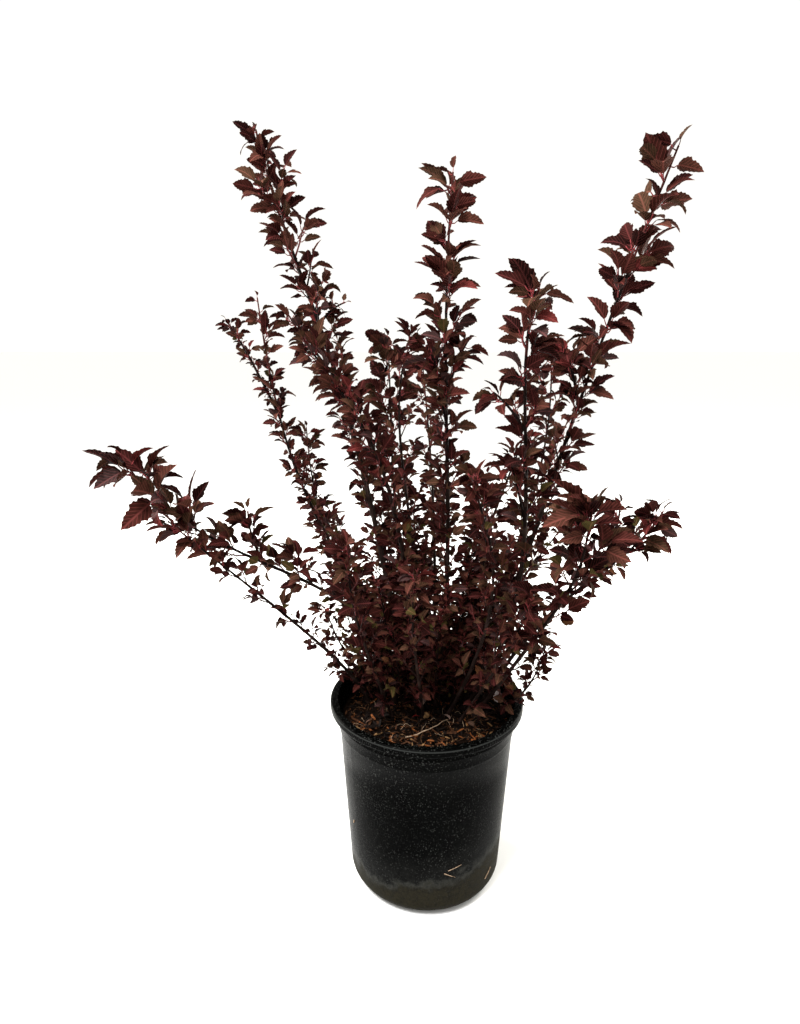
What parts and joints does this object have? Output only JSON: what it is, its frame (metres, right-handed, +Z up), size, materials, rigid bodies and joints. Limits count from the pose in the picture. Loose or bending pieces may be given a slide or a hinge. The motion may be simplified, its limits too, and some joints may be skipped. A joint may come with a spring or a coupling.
{
  "type": "potted black jack ninebark",
  "caption": "Dark-leaved shrub with many slender canes fanning up from a round black nursery pot.",
  "frame": {"origin": "centre of the pot's flat underside", "axes": "+Z up the plant, -Y towards the side that the picture shows, +X to its right"},
  "size_m": [0.6648, 0.5744, 0.9718],
  "materials": {
    "pot": "worn, dusty satin",
    "soil": "loose, matt bark mix",
    "cane": "matt bark",
    "leaf": "soft sheen"
  },
  "bodies": {
    "root": {"cane_back_arching": "cane", "cane_back_centre": "cane", "cane_back_left": "cane", "cane_back_low_left": "cane", "cane_back_low_right": "cane", "cane_back_right": "cane", "cane_centre_inner": "cane", "cane_centre_left": "cane", "cane_centre_tall": "cane", "cane_front_centre": "cane", "cane_front_left": "cane", "cane_front_low": "cane", "cane_front_right": "cane", "cane_left_arching": "cane", "cane_left_inner": "cane", "cane_left_low": "cane", "cane_left_slim": "cane", "cane_left_slim_inner": "cane", "cane_left_sprig": "cane", "cane_left_tall": "cane", "cane_mid_right": "cane", "cane_right_front": "cane", "cane_right_inner": "cane", "cane_right_low": "cane", "cane_right_mid": "cane", "cane_right_tall": "cane", "cane_rim_sprig": "cane", "leaves_back_arching": "leaf", "leaves_back_centre": "leaf", "leaves_back_left": "leaf", "leaves_back_low_left": "leaf", "leaves_back_low_right": "leaf", "leaves_back_right": "leaf", "leaves_centre_inner": "leaf", "leaves_centre_left": "leaf", "leaves_centre_tall": "leaf", "leaves_front_centre": "leaf", "leaves_front_left": "leaf", "leaves_front_low": "leaf", "leaves_front_right": "leaf", "leaves_left_arching": "leaf", "leaves_left_inner": "leaf", "leaves_left_low": "leaf", "leaves_left_slim": "leaf", "leaves_left_slim_inner": "leaf", "leaves_left_sprig": "leaf", "leaves_left_tall": "leaf", "leaves_mid_right": "leaf", "leaves_right_front": "leaf", "leaves_right_inner": "leaf", "leaves_right_low": "leaf", "leaves_right_mid": "leaf", "leaves_right_tall": "leaf", "leaves_rim_sprig": "leaf", "pot": "pot", "soil": "soil"}
  },
  "joints": []
}
